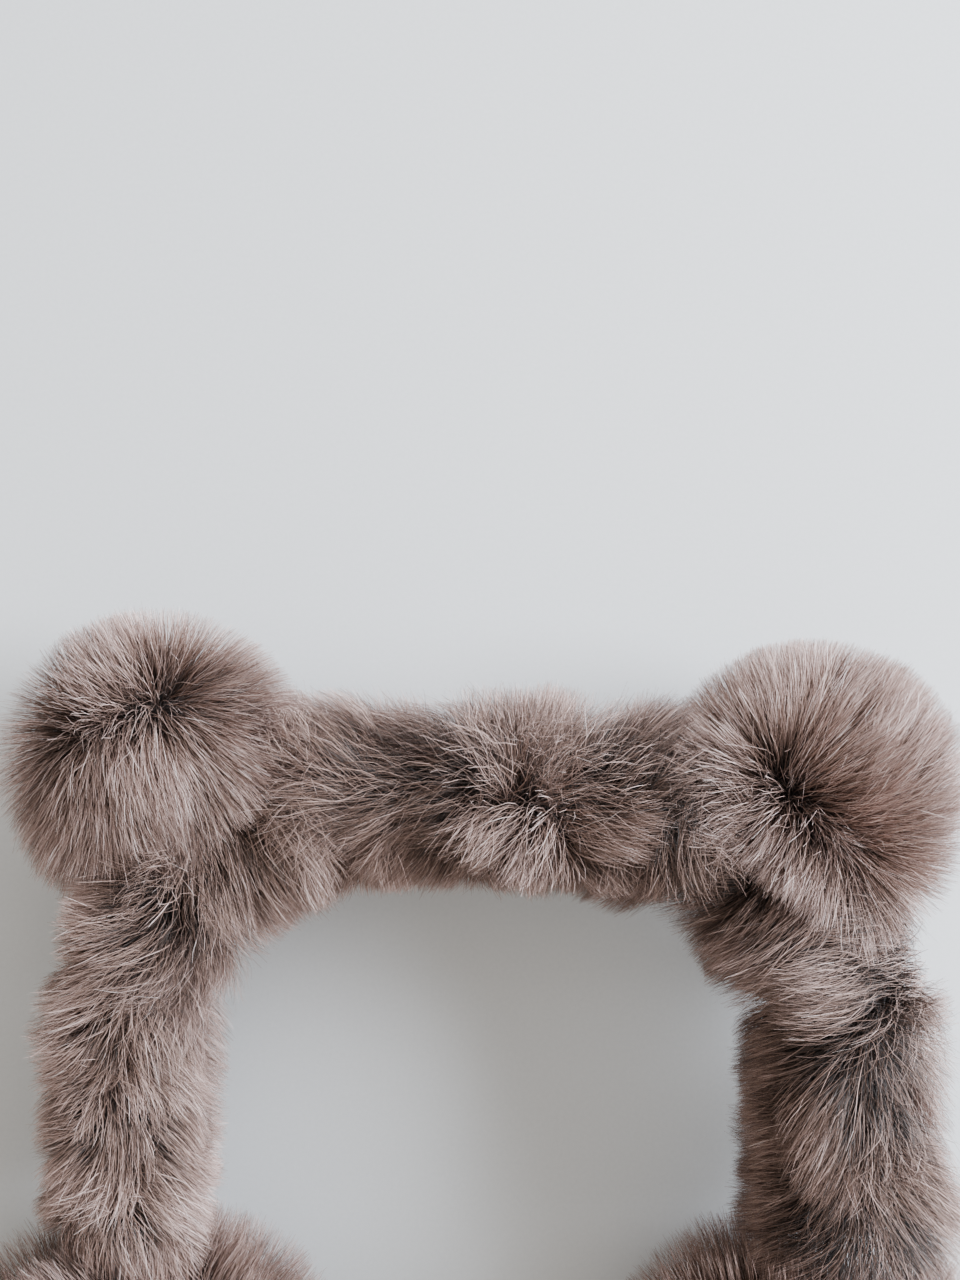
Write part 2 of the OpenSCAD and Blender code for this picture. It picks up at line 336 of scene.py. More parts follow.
def jersey_tube(name, side, start, end):
    """One length of the sleeve's backing, with closed ends."""
    rings = int((end - start) / (1.5 * MM)) + 1
    along = np.linspace(start, end, rings)[:, None]
    angle = np.linspace(0, 2 * math.pi, AROUND, endpoint=False)[None, :]
    centre, outward = arch_line(np.repeat(along, AROUND, axis=1))
    swell = gathers(along, side)
    across = (FOAM_HALF_T + BACKING_T) * swell * squarish(np.cos(angle))
    up = (FOAM_HALF_W + BACKING_T) * (0.5 + 0.5 * swell) * squarish(np.sin(angle))
    points = centre + outward * across[..., None]
    points[..., 2] += up
    points[..., 0] *= side
    ring = np.arange(rings * AROUND).reshape(rings, AROUND)
    turned = np.roll(ring, -1, axis=1)
    faces = np.stack([ring[:-1], ring[1:], turned[1:], turned[:-1]], axis=-1).reshape(-1, 4)
    if side > 0:
        faces = faces[:, ::-1]
    return mesh_object(name, points.reshape(-1, 3), faces, [backing_jersey])


backing = {}
for side_name, side in SIDES.items():
    for stretch, (start, end) in STRETCHES.items():
        tube = jersey_tube(f"{side_name}_{stretch}_backing", side, start, end)
        backing[side_name, stretch] = tube
print(len(backing), "lengths of jersey tube")
loop_points = read_points(backing["right", "leg"].data)[:AROUND]
girth = np.linalg.norm(loop_points - np.roll(loop_points, 1, axis=0), axis=1).sum()
print("the sleeve is cut", round(girth / MM), "mm wide and", round(2 * ARCH_HALF / MM), "mm long")

# %% [markdown]
# ## Stuffed bodies
#
# An ear and a pad are bags of the same jersey, blown up by their filling. A smooth lens would look
# like a machined part. Cloth simulation finds the real form: the bag starts a little too small, the
# filling pushes it out, and the sewn edge holds it back. The simulated cloth may only move a few
# millimetres, so the bag stays the size that the pattern gives it. Cloth behaves best on things
# about a metre across, so the bag is blown up as a giant and then shrunk back.

# %% Blowing up a bag with cloth simulation
FILL_FRAMES = 20
GIANT = 25.0


def blow_up(obj, held, farthest, pressure):
    """Runs cloth on obj with pressure inside. held is 1 where the cloth is sewn down."""
    group = obj.vertex_groups.new(name="sewn")
    for index in np.nonzero(held > 0.01)[0]:
        group.add([int(index)], float(held[index]), "REPLACE")
    before = read_points(obj.data)
    obj.data.vertices.foreach_set("co", (before * GIANT).astype(np.float32).ravel())
    obj.data.update()
    cloth = obj.modifiers.new("filling", "CLOTH")
    cloth.settings.quality = 5
    cloth.settings.mass = 0.05
    cloth.settings.tension_stiffness = 12
    cloth.settings.compression_stiffness = 12
    cloth.settings.bending_stiffness = 0.5
    cloth.settings.use_pressure = True
    cloth.settings.uniform_pressure_force = pressure
    cloth.settings.vertex_group_mass = "sewn"
    cloth.settings.effector_weights.gravity = 0
    cloth.point_cache.frame_start = 1
    cloth.point_cache.frame_end = FILL_FRAMES
    scene = bpy.context.scene
    for step in range(1, FILL_FRAMES + 1):
        scene.frame_set(step)
    graph = bpy.context.evaluated_depsgraph_get()
    after = read_points(obj.evaluated_get(graph).data) / GIANT
    obj.modifiers.remove(cloth)
    obj.vertex_groups.clear()
    scene.frame_set(1)
    moved = after - before
    length = np.linalg.norm(moved, axis=1, keepdims=True)
    moved *= np.minimum(1, farthest / np.maximum(length, 1e-9))
    obj.data.vertices.foreach_set("co", (before + moved).astype(np.float32).ravel())
    obj.data.update()
    return float(np.linalg.norm(moved, axis=1).max())


# %% The outline of a round bag


def lens_points(rings, segments, radius, half_t, roundness):
    """A closed round bag on the XY plane: points, and quads with triangle caps left out."""
    rise = np.linspace(-math.pi / 2, math.pi / 2, rings)[:, None]
    turn = np.linspace(0, 2 * math.pi, segments, endpoint=False)[None, :]
    out = radius * np.sign(np.cos(rise)) * np.abs(np.cos(rise)) ** roundness
    points = np.stack(
        [out * np.cos(turn), out * np.sin(turn), half_t * np.sin(rise) * np.ones_like(turn)], axis=-1
    )
    ring = np.arange(rings * segments).reshape(rings, segments)
    turned = np.roll(ring, -1, axis=1)
    faces = np.stack([ring[:-1], turned[:-1], turned[1:], ring[1:]], axis=-1).reshape(-1, 4)
    return points.reshape(-1, 3), faces


# %% Even faces for the cloth


def remesh(obj, size):
    """Even faces all over, which cloth needs."""
    modifier = obj.modifiers.new("even", "REMESH")
    modifier.mode = "VOXEL"
    modifier.voxel_size = size
    graph = bpy.context.evaluated_depsgraph_get()
    mesh = bpy.data.meshes.new_from_object(obj.evaluated_get(graph))
    obj.modifiers.remove(modifier)
    obj.data = mesh
    for polygon in mesh.polygons:
        polygon.use_smooth = True


# %% [markdown]
# ### Ears
#
# An ear is a disc of fur fabric sewn to another, turned and stuffed, with the lower edge cut flat and
# stitched to the shoulder. So the bag is a round lens with a chord cut off, and that chord is the
# held edge. It is built flat, then turned to stand on the shoulder. The two ears were sewn on by
# hand, so each sits a few millimetres off its mark.

# %% Ear bags
EAR_R = 24 * MM
EAR_HALF_T = 10 * MM
EAR_CHORD = -14 * MM
EAR_VOXEL = 2.2 * MM
EAR_SLIP = {"left": (2.5, 1.5), "right": (-2.0, -4.0)}
ear_places = {}
ear_bodies = {}
for side_name, side in SIDES.items():
    joint = joints[f"{side_name}_ear_bend"]
    hinge = np.array(joint["pos_m"])
    shoulder = np.array([side * SHOULDER_X, SHOULDER_Y, CORE_Z])
    out = unit(hinge - shoulder)
    centre = hinge + np.array([*EAR_SLIP[side_name], 0.0]) * MM
    tangent = np.array([out[1], -out[0], 0.0])
    ear_places[side_name] = (centre, out, tangent)
    points, faces = lens_points(25, 64, EAR_R, EAR_HALF_T, 0.7)
    points[:, 1] = np.maximum(points[:, 1], EAR_CHORD)
    bag = mesh_object(f"{side_name}_ear_body", points, faces, [backing_jersey])
    remesh(bag, EAR_VOXEL)
    flat = read_points(bag.data)
    sewn = np.clip((EAR_CHORD + 2.5 * MM - flat[:, 1]) / (2 * MM), 0, 1)
    swelled = blow_up(bag, sewn, 2.5 * MM, 12.0)
    print(side_name, "ear swelled by", round(swelled / MM, 1), "mm")
    flat = read_points(bag.data)
    placed = centre + flat[:, :1] * tangent + flat[:, 1:2] * out
    placed[:, 2] += flat[:, 2]
    bag.data.vertices.foreach_set("co", placed.astype(np.float32).ravel())
    bag.data.update()
    ear_bodies[side_name] = bag

# %% [markdown]
# ### Pads
#
# A pad's covers are two cups of fur fabric whose hems meet on the rim of a plastic plate. The head
# side is soft foam, and the outer side is loosely stuffed. Both cups together make a fat drum. The
# strip's end socket goes in through a slit at the top, left open wide enough for the pad to swivel.

# %% The slit for the strip
SLIT_ROOM = Vector((7.0, 7.0, 3.0)) * MM


def cut_slit(bag, nodes, room):
    """Takes away the bag's cloth where CAD pieces enter it, with room round them."""
    boxes = [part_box(node) for node in nodes]
    cloth = bmesh.new()
    cloth.from_mesh(bag.data)
    inside = [
        face for face in cloth.faces
        if any(
            all(low[i] - room[i] < face.calc_center_median()[i] < high[i] + room[i] for i in range(3))
            for low, high in boxes
        )
    ]
    bmesh.ops.delete(cloth, geom=inside, context="FACES")
    cloth.to_mesh(bag.data)
    cloth.free()
    return len(inside)


# %% Pad bags
PAD_R = 32 * MM
PAD_HALF_T = 31 * MM
PAD_VOXEL = 3.6 * MM
pad_places = {}
pad_bodies = {}
for side_name, side in SIDES.items():
    low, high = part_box(f"{side_name}_pad_outer_fur")
    inner_low, inner_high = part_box(f"{side_name}_pad_inner_fur")
    pin = middle(f"{side_name}_pad_pin")
    pad_x = (min(low.x, inner_low.x) + max(high.x, inner_high.x)) / 2
    centre = np.array([pad_x, pin[1], pin[2]])
    pad_places[side_name] = centre
    points, faces = lens_points(25, 64, PAD_R, PAD_HALF_T, 0.45)
    bag = mesh_object(f"{side_name}_pad_body", points, faces, [backing_jersey])
    remesh(bag, PAD_VOXEL)
    flat = read_points(bag.data)
    rim = np.linalg.norm(flat[:, :2], axis=1) > PAD_R - 3 * MM
    sewn = np.where(rim & (np.abs(flat[:, 2]) < 3 * MM), 1.0, 0.0)
    swelled = blow_up(bag, sewn, 3.0 * MM, 12.0)
    print(side_name, "pad swelled by", round(swelled / MM, 1), "mm")
    flat = read_points(bag.data)
    placed = centre + np.stack([flat[:, 2], flat[:, 0], flat[:, 1]], axis=1)
    placed[:, 2] = np.maximum(placed[:, 2], 5 * MM)
    bag.data.vertices.foreach_set("co", placed.astype(np.float32).ravel())
    bag.data.update()
    strip_end = (f"{side_name}_end_socket", f"{side_name}_sleeve_binding")
    print(side_name, "slit:", cut_slit(bag, strip_end, SLIT_ROOM), "faces of cloth taken out")
    pad_bodies[side_name] = bag

# %% [markdown]
# ## Growing fur
#
# Blender can grow hair curves, but here the coat has to be plain geometry that any tool can open.
# So each fibre is a narrow ribbon of quads. Its corner normals are turned outwards to both sides,
# and a flat ribbon then catches light like a round fibre, at a third of the faces of a tube.
#
# A fibre starts along the cloth's normal, is combed towards a lay, droops a little, and stops at the
# table. Fibres then gather round their neighbours' tips, twice: into fine locks, and into tufts.

# %% Roots on a cloth surface
TABLE_GAP = 0.6 * MM


def scatter(obj, per_mm2, rng):
    """Random roots on a mesh, even by area, with the surface's normals there."""
    mesh = obj.data
    mesh.calc_loop_triangles()
    corners = np.empty(len(mesh.loop_triangles) * 3, np.int32)
    mesh.loop_triangles.foreach_get("vertices", corners)
    corners = corners.reshape(-1, 3)
    points = read_points(mesh)
    normals = read_points(mesh, normals=True)
    a, b, c = (points[corners[:, i]] for i in range(3))
    area = np.linalg.norm(np.cross(b - a, c - a), axis=1) / 2
    count = int(area.sum() / MM ** 2 * per_mm2)
    chosen = rng.choice(len(corners), size=count, p=area / area.sum())
    u, v = rng.random((2, count))
    folded = u + v > 1
    u[folded] = 1 - u[folded]
    v[folded] = 1 - v[folded]
    weights = np.stack([1 - u - v, u, v], axis=1)[..., None]
    roots = (points[corners[chosen]] * weights).sum(1)
    return roots, unit((normals[corners[chosen]] * weights).sum(1))


# %% Swirls in the lay


def swirl(points, size, rng):
    """A smooth random vector field whose eddies are about size across."""
    waves = rng.normal(0, 2.2 / size, (8, 3))
    phases = rng.uniform(0, 2 * math.pi, 8)
    pushes = rng.normal(0, 0.5, (8, 3))
    return np.sin(points @ waves.T + phases) @ pushes


# %% Combing, locks and tufts
STEPS = 6


def comb(roots, normals, lay, lean, length, droop, rng):
    """Paths of fibres that leave along the normal and bend over towards the lay."""
    count = len(roots)
    paths = np.empty((count, STEPS + 1, 3))
    paths[:, 0] = roots
    wander = rng.normal(0, 0.12, (count, 3))
    curl = rng.normal(0, 0.16, (count, 3))
    phase = rng.uniform(0, 2 * math.pi, (count, 1))
    for step in range(STEPS):
        t = (step + 0.5) / STEPS
        rise = 1 - (0.35 + 0.6 * t) * lean[:, None]
        over = (0.35 + 0.9 * t) * lean[:, None]
        heading = unit(normals * rise + lay * over + wander + curl * np.sin(phase + 5 * t))
        heading[:, 2] -= droop * t
        heading = unit(heading)
        ahead = paths[:, step] + heading * (length / STEPS)[:, None]
        floor = TABLE_GAP * (1 + 2 * rng.random(count))
        ahead[:, 2] = np.maximum(ahead[:, 2], floor)
        paths[:, step + 1] = ahead
    return paths


def gather(paths, every, strength, rng):
    """Draws fibres towards one neighbour in every so many, more at the tip than at the root."""
    count = len(paths)
    leaders = rng.choice(count, size=max(1, count // every), replace=False)
    tree = kdtree.KDTree(len(leaders))
    for index, leader in enumerate(leaders):
        tree.insert(paths[leader, 1], index)
    tree.balance()
    nearest = np.array([tree.find(point)[1] for point in paths[:, 1]])
    leader = leaders[nearest]
    t = np.linspace(0, 1, STEPS + 1)[None, :, None]
    pull = (strength * rng.uniform(0.6, 1.2, len(leaders)))[nearest][:, None, None] * t ** 1.3
    apart = (paths[:, :1] - paths[leader, :1]) * (1 - t)
    return paths * (1 - pull) + (paths[leader] + apart) * pull, nearest


# %% [markdown]
# Fur fabric is sheared to an even height before it is sewn, and a plush toy is brushed and clipped
# again at the end. Trimming shrinks each fibre that reaches past the cutting line back towards its
# root, which keeps its bend and its tapered tip.

# %% Trimming to a line


def trim(paths, reach, limit):
    """Shrinks fibres whose tips reach farther than limit. reach gives a point's distance."""
    root = reach(paths[:, 0])
    tip = reach(paths[:, -1])
    room = np.maximum(limit - root, 2 * MM)
    grown = np.maximum(tip - root, 1e-6)
    scale = np.where(tip > limit, np.clip(room / grown, 0.3, 1), 1)[:, None, None]
    return paths[:, :1] + (paths - paths[:, :1]) * scale


# %% Ribbons with round shading
ROOT_WIDTH = 0.19 * MM
ROUNDING = 0.8


def ribbons(name, paths, outward, shade, rng):
    """One mesh of ribbons along the paths. shade is each fibre's shift on the ladder of shades."""
    count = len(paths)
    along = np.gradient(paths, axis=1)
    along = unit(along)
    facing = unit(outward + rng.normal(0, 0.45, (count, 3)))[:, None, :]
    across = unit(np.cross(along, facing))
    front = np.cross(across, along)
    t = np.linspace(0, 1, STEPS + 1)
    taper = (1 - 0.78 * t ** 1.6)[None, :, None]
    width = rng.uniform(0.75, 1.25, count)[:, None, None] * ROOT_WIDTH
    half = across * width * taper / 2
    points = np.stack([paths - half, paths + half], axis=2).reshape(-1, 3)
    normals = np.stack(
        [front - across * ROUNDING, front + across * ROUNDING], axis=2
    ).reshape(-1, 3)
    first = np.arange(count * (STEPS + 1)).reshape(count, STEPS + 1)[:, :-1] * 2
    faces = np.stack([first, first + 1, first + 3, first + 2], axis=-1).reshape(-1, 4)
    middle_t = (t[:-1] + t[1:]) / 2
    top = len(FIBRE_SHADES) - 1
    # Rungs climb from root to tip: the dark roots are partly painted shade deep in the pile, and the
    # pale tips partly a painted highlight, over the fibres' own dye and frosting.
    rung = 0.2 + middle_t[None, :] ** 0.9 * (top - 2.0) + shade[:, None]
    rung = np.clip(np.rint(rung + rng.normal(0, 0.35, rung.shape)), 0, top)
    obj = mesh_object(name, points, faces, fibre_materials, rung.ravel())
    obj.data.normals_split_custom_set_from_vertices(unit(normals))
    return obj


# %% [markdown]
# ## The groom
#
# A coat isn't combed at random. Sewing, turning and packing leave partings, whorls and folds, and
# the eye reads them at once. The band's lay is set by a few strokes of a comb: each stroke is a
# place on the band and a heading, in millimetres. Between strokes the lay is their blend, weighted
# by nearness.

# %% Strokes of the comb, (x, y, heading x, heading y)
CROWN_STROKES = [
    (-42, 97, -0.7, 0.7), (-29, 104, -0.7, 0.7), (-15, 104, -0.7, 0.7), (5, 105, -0.6, 0.8),
    (25, 101, -0.2, 1.0), (39, 101, 0.3, 0.95), (-29, 89, -1.0, 0.0), (-12, 83, -0.8, -0.6),
    (-2, 74, -0.35, -0.95), (12, 74, 0.05, -1.0), (28, 80, 0.55, -0.8), (35, 91, 0.95, 0.3),
    (-22, 65, -0.2, -1.0), (-31, 74, 0.1, -1.0), (-43, 80, -0.3, -0.9), (32, 68, -0.95, -0.3),
    (48, 78, 0.3, -0.95), (14, 104, -0.4, 0.9), (-50, 62, 0.3, -0.95), (50, 62, -0.4, -0.9),
    (-12, 86, -0.8, -0.5), (0, 85, -0.4, -0.9), (12, 85, 0.0, -1.0), (24, 84, 0.4, -0.9),
    (0, 91, -0.7, 0.7), (15, 91, -0.4, 0.9), (-24, 92, -0.9, 0.4),
]
LEFT_STROKES = [
    (-90, 57, -1.0, 0.0), (-69, 50, -0.2, -1.0), (-86, 45, -0.85, -0.5), (-107, 32, -0.95, -0.3),
    (-110, 20, -1.0, 0.05), (-93, 32, -0.5, -0.85), (-82, 30, 0.0, -1.0), (-75, 24, 0.4, -0.9),
    (-86, 15, 0.35, -0.95), (-76, 15, 0.6, -0.8), (-103, 11, -0.9, -0.3), (-90, 1, 0.3, -0.95),
    (-110, -1, -0.8, -0.6), (-101, -12, -0.35, -0.95), (-110, -19, -0.5, -0.87),
    (-95, -26, 0.2, -1.0), (-86, -32, 0.4, -0.9), (-79, -19, 0.9, 0.4), (-103, -36, -0.2, -1.0),
    (-66, 86, 0.5, -0.86), (-58, 74, 0.6, -0.8), (-91, 69, -1.0, 0.0), (-64, 58, 0.7, -0.7),
    (-73, 45, 0.95, -0.3), (-76, 25, 0.9, -0.4), (-76, -5, 0.9, -0.4),
]
RIGHT_STROKES = [
    (60, 66, -0.95, 0.2), (48, 68, -1.0, 0.1), (36, 65, -0.8, -0.6), (89, 33, -0.95, 0.1),
    (79, 28, -0.8, -0.5), (99, 18, -0.2, -1.0), (89, 18, -0.95, -0.1), (87, 3, -0.8, -0.55),
    (113, 25, 0.8, 0.1), (118, -7, 1.0, 0.1), (102, -14, 0.5, -0.87), (86, -16, -1.0, 0.05),
    (108, -27, 0.45, -0.9), (91, -33, -0.75, -0.65), (70, 18, -0.9, 0.1), (80, 60, -0.6, -0.7),
    (63, 58, -0.7, -0.7), (73, 43, -0.95, -0.4), (110, 8, 0.9, -0.2), (112, -35, 0.9, -0.5),
]
STROKES = np.array(CROWN_STROKES + LEFT_STROKES + RIGHT_STROKES, float)
STROKE_REACH = 7.0


def combed_lay(roots):
    """The lay of the band's fur at each root: the blend of the nearest strokes."""
    places = roots[:, None, :2] / MM - STROKES[None, :, :2]
    weight = 1 / ((places ** 2).sum(-1) + STROKE_REACH ** 2) ** 2
    heading = (weight[..., None] * STROKES[None, :, 2:]).sum(1) / weight.sum(1, keepdims=True)
    return np.concatenate([heading, np.zeros((len(roots), 1))], axis=1)


# %% [markdown]
# ### Fur on the band
#
# The band's pile is the longest, and it lies over: some 25 mm of fibre makes a band that looks
# 50 mm thick. Each length of jersey tube grows its own coat, so that the shoulder and the leg can
# ride with their side. A coat stays under a hundred thousand faces, which is what other tools open
# without thinning it, so each length has its own density.

# %% The cutting line of the band, in mm: place along the arch, inner reach, outer reach
BAND_REACH = np.array([
    (-181, 26, 20), (-157, 25, 20), (-130, 26, 21), (-112, 29, 15), (-98, 33, 18), (-84, 34, 26),
    (-60, 29, 30), (-30, 22, 31), (0, 21, 32), (30, 22, 31), (60, 29, 30), (84, 35, 26),
    (100, 33, 25), (115, 27, 27), (130, 25, 29), (155, 25, 33), (181, 26, 34),
], float)


def from_line(points):
    """Signed in-plane distance from the arch's line, positive outwards."""
    x = np.abs(points[:, 0])
    y = points[:, 1]
    corner = np.hypot(x - SHOULDER_X, y - SHOULDER_Y) - SHOULDER_R
    flat = np.where(x < SHOULDER_X, y - CROWN_Y, corner)
    return np.where(y < SHOULDER_Y, x - LEG_X, flat)


def along_arch(points):
    """How far along the arch each point is, negative on the left side."""
    x = np.abs(points[:, 0])
    turn = np.arctan2(x - SHOULDER_X, np.maximum(points[:, 1] - SHOULDER_Y, 1e-9))
    corner = SHOULDER_X + turn * SHOULDER_R
    leg = SHOULDER_X + ARC_LENGTH + SHOULDER_Y - points[:, 1]
    along = np.where(x < SHOULDER_X, x, corner)
    return np.where(points[:, 1] < SHOULDER_Y, leg, along) * np.sign(points[:, 0])


def trim_band(paths, rng):
    """Trims the inner and the outer edge of the band."""
    place = along_arch(paths[:, 0]) / MM
    rough = rng.normal(0, 1.8, len(paths))
    inner = (np.interp(place, BAND_REACH[:, 0], BAND_REACH[:, 1]) + rough) * MM
    outer = (np.interp(place, BAND_REACH[:, 0], BAND_REACH[:, 2]) + rough) * MM
    paths = trim(paths, lambda points: -from_line(points), inner)
    return trim(paths, from_line, outer)


# %% [markdown]
# Where the coat faces away from the window lamp, under the band's inner edge, and beside and under
# the ears, a few patches paint shade into it: they say where, how wide, and how many rungs down the
# ladder of shades the coat drops there. A negative drop is painted light on the coat's lit side,
# the outer edge of the right leg, the left leg and the top of the band, shifted up the ladder.

# %% Patches of painted shade and painted light, (x, y, spread, rungs darker) in mm
PAINTED_LIGHT_AND_SHADE_PATCHES = [
    (80, 24, 17, 1.4), (78, -8, 15, 1.5), (82, -36, 15, 1.5), (64, 58, 17, 1.3), (97, 55, 11, 1.2),
    (-60, 64, 9, 1.1), (-44, 61, 8, 0.9), (-62, 95, 7, 1.0), (46, 84, 9, 0.9), (98, -22, 7, 1.2),
    (-93, 28, 16, -0.5), (-90, -6, 14, -0.4), (-5, 106, 26, -0.3), (118, -10, 12, -0.5),
    (116, 26, 10, -0.4),
]

# %% How long and how dense the band's pile is
PILE_PER_REACH = 1.12
PILE_TUCKED = 3 * MM
BAND_DENSITY = {"crown": 4.5, "shoulder": 3.1, "leg": 3.9}
UNDERSIDE_SHARE = 0.5


# %% Painted shade and cover by place


def painted_light_and_shade_rungs(points):
    """How many rungs the painted shade and painted light of the nearest patches shift the fur."""
    rungs = np.zeros(len(points))
    for x, y, spread, drop in PAINTED_LIGHT_AND_SHADE_PATCHES:
        away = np.hypot(points[:, 0] / MM - x, points[:, 1] / MM - y)
        rungs -= drop * np.exp(-((away / spread) ** 2))
    return np.clip(rungs, -2.2, 1.0)


def nearest_ear(points):
    """In-plane distance to the nearer ear's middle."""
    away = [np.linalg.norm((points - place[0])[:, :2], axis=1) for place in ear_places.values()]
    return np.minimum(*away)


# %% One length of the band's coat
EDDY = 16 * MM
SMALL_EDDY = 5 * MM
FIBRES_PER_LOCK = 12
FIBRES_PER_TUFT = 260


def band_coat(name, tube, density, seed):
    """The fur of one length of the band."""
    rng = np.random.default_rng(seed)
    roots, normals = scatter(tube, density, rng)
    kept = rng.random(len(roots)) < np.where(normals[:, 2] < -0.4, UNDERSIDE_SHARE, 1.0)
    roots, normals = roots[kept], normals[kept]
    lay = combed_lay(roots)
    under = np.clip(-normals[:, 2:] * 2, 0, 1)
    flat_out = normals * [1, 1, 0]
    lay = lay * (1 - under) + flat_out * under
    lay += 0.22 * swirl(roots, EDDY, rng) + 0.26 * swirl(roots, SMALL_EDDY, rng)
    lay += rng.normal(0, 0.14, lay.shape)
    lean = rng.uniform(0.72, 1.0, len(roots))
    place = along_arch(roots) / MM
    outer_share = 0.5 + 0.5 * np.clip(from_line(roots) / (5 * MM), -1, 1)
    inner_reach = np.interp(place, BAND_REACH[:, 0], BAND_REACH[:, 1])
    outer_reach = np.interp(place, BAND_REACH[:, 0], BAND_REACH[:, 2])
    reach = (inner_reach + (outer_reach - inner_reach) * outer_share) * MM
    length = PILE_PER_REACH * (reach - PILE_TUCKED) * rng.uniform(0.85, 1.12, len(roots))
    covered = 1 - 0.6 * np.clip(1.5 - nearest_ear(roots) / (24 * MM), 0, 1)
    paths = comb(roots, normals, lay, lean, length * covered, 0.4, rng)
    paths = trim_band(paths, rng)
    paths, lock = gather(paths, FIBRES_PER_LOCK, 0.26, rng)
    paths, tuft = gather(paths, FIBRES_PER_TUFT, 0.40, rng)
    lock_shade = rng.normal(0, 0.5, lock.max() + 1)[lock]
    # The patches add painted shade, and painted light on the lit sides, to each fibre's shift.
    shade = rng.normal(0, 0.62, len(roots)) + lock_shade + painted_light_and_shade_rungs(roots)
    return ribbons(name, paths, normals, shade, rng)


band_fur = {}
for index, ((side_name, stretch), tube) in enumerate(backing.items()):
    coat = band_coat(f"{side_name}_{stretch}_coat", tube, BAND_DENSITY[stretch], 100 + index)
    band_fur[side_name, stretch] = coat
    print(coat.name, len(coat.data.polygons), "faces")

# %% [markdown]
# ### Fur on the ears
#
# An ear's fur radiates from a whorl, and lies out over the rim so that the ear is a soft ball. The
# whorl is a short parting and not a point. It isn't in the middle of either ear, because the ears
# were turned and brushed by hand.

# %% The ears' coats
EAR_PILE = 24 * MM
EAR_DENSITY = 6.0
EAR_REACH = 41.5 * MM
EAR_SKIRT = 26 * MM
EAR_FROST = 0.35
EAR_PARTINGS = {
    "left": ((-13, 10), (1, 16)),
    "right": ((-10, 4), (6, -10)),
}


def from_parting(places, start, end):
    """Headings away from the nearest point of a parting, and the distance from it."""
    start = np.array(start, float)
    run = np.array(end, float) - start
    t = np.clip(((places - start) @ run) / (run @ run), 0, 1)
    away = places - (start + t[:, None] * run)
    distance = np.linalg.norm(away, axis=1)
    return away / np.maximum(distance, 3.0)[:, None], distance


def ear_coat(name, body, side_name, front, seed):
    """The fur of one panel of an ear."""
    rng = np.random.default_rng(seed)
    roots, normals = scatter(body, EAR_DENSITY, rng)
    centre, out, tangent = ear_places[side_name]
    wanted = (roots[:, 2] > centre[2]) == front
    roots, normals = roots[wanted], normals[wanted]
    places = (roots - centre)[:, :2] / MM
    heading, distance = from_parting(places, *EAR_PARTINGS[side_name])
    lay = np.concatenate([heading, np.zeros((len(roots), 1))], axis=1)
    lay += 0.16 * swirl(roots, 12 * MM, rng) + 0.12 * swirl(roots, 4 * MM, rng)
    lay += rng.normal(0, 0.07, lay.shape)
    lean = np.clip(0.55 + distance / 40, 0, 0.92) * rng.uniform(0.9, 1.05, len(roots))
    low = np.clip((-4 * MM - (roots - centre) @ out) / (8 * MM), 0, 1)
    length = EAR_PILE * rng.uniform(0.88, 1.08, len(roots)) * (1 + 0.35 * low)
    paths = comb(roots, normals, lay, lean, length, 0.05, rng)
    limit = EAR_REACH + rng.normal(0, 0.8 * MM, len(roots))
    paths = trim(paths, lambda points: np.linalg.norm((points - centre)[:, :2], axis=1), limit)
    limit = EAR_SKIRT + rng.normal(0, 1.5 * MM, len(roots))
    paths = trim(paths, lambda points: (centre - points) @ out, limit)
    paths, lock = gather(paths, FIBRES_PER_LOCK, 0.24, rng)
    lock_shade = rng.normal(0, 0.55, lock.max() + 1)[lock]
    shade = rng.normal(0, 0.62, len(roots)) + lock_shade + EAR_FROST
    return ribbons(name, paths, normals, shade, rng)


ear_fur = {}
for index, (side_name, body) in enumerate(ear_bodies.items()):
    for panel, front in (("front", True), ("back", False)):
        coat = ear_coat(f"{side_name}_ear_{panel}_coat", body, side_name, front, 200 + 2 * index + front)
        ear_fur[side_name, panel] = coat
        print(coat.name, len(coat.data.polygons), "faces")

# %% [markdown]
# ### Fur on the pads
#
# The pads' fur stands straight out all round, like a pompom's, except underneath, where the pad's
# own weight presses it flat.

# %% The pads' coats
PAD_PILE = 24 * MM
PAD_DENSITY = 2.02


def pad_coat(name, body, side_name, inner, seed):
    """The fur of one cover of a pad."""
    rng = np.random.default_rng(seed)
    roots, normals = scatter(body, PAD_DENSITY, rng)
    centre = pad_places[side_name]
    plate_x = float(middle(f"{side_name}_pad_plate")[0])
    headward = (roots[:, 0] - plate_x) * SIDES[side_name] < 0
    roots, normals = roots[headward == inner], normals[headward == inner]
    lay = unit((roots - centre) * [0.4, 1, 1]) + rng.normal(0, 0.2, roots.shape)
    lay[:, 1] += 0.55
    lay += 0.3 * swirl(roots, 14 * MM, rng) + 0.25 * swirl(roots, 5 * MM, rng)
    lean = rng.uniform(0.45, 0.75, len(roots))
    length = PAD_PILE * rng.uniform(0.85, 1.1, len(roots))
    paths = comb(roots, normals, lay, lean, length, 0.12, rng)
    paths, lock = gather(paths, 10, 0.4, rng)
    paths, tuft = gather(paths, 200, 0.25, rng)
    shade = rng.normal(0, 0.55, len(roots)) + rng.normal(0, 0.35, lock.max() + 1)[lock]
    return ribbons(name, paths, normals, shade, rng)


pad_fur = {}
for index, (side_name, body) in enumerate(pad_bodies.items()):
    for cover, inner in (("inner", True), ("outer", False)):
        coat = pad_coat(f"{side_name}_pad_{cover}_coat", body, side_name, inner, 300 + 2 * index + inner)
        pad_fur[side_name, cover] = coat
        print(coat.name, len(coat.data.polygons), "faces")

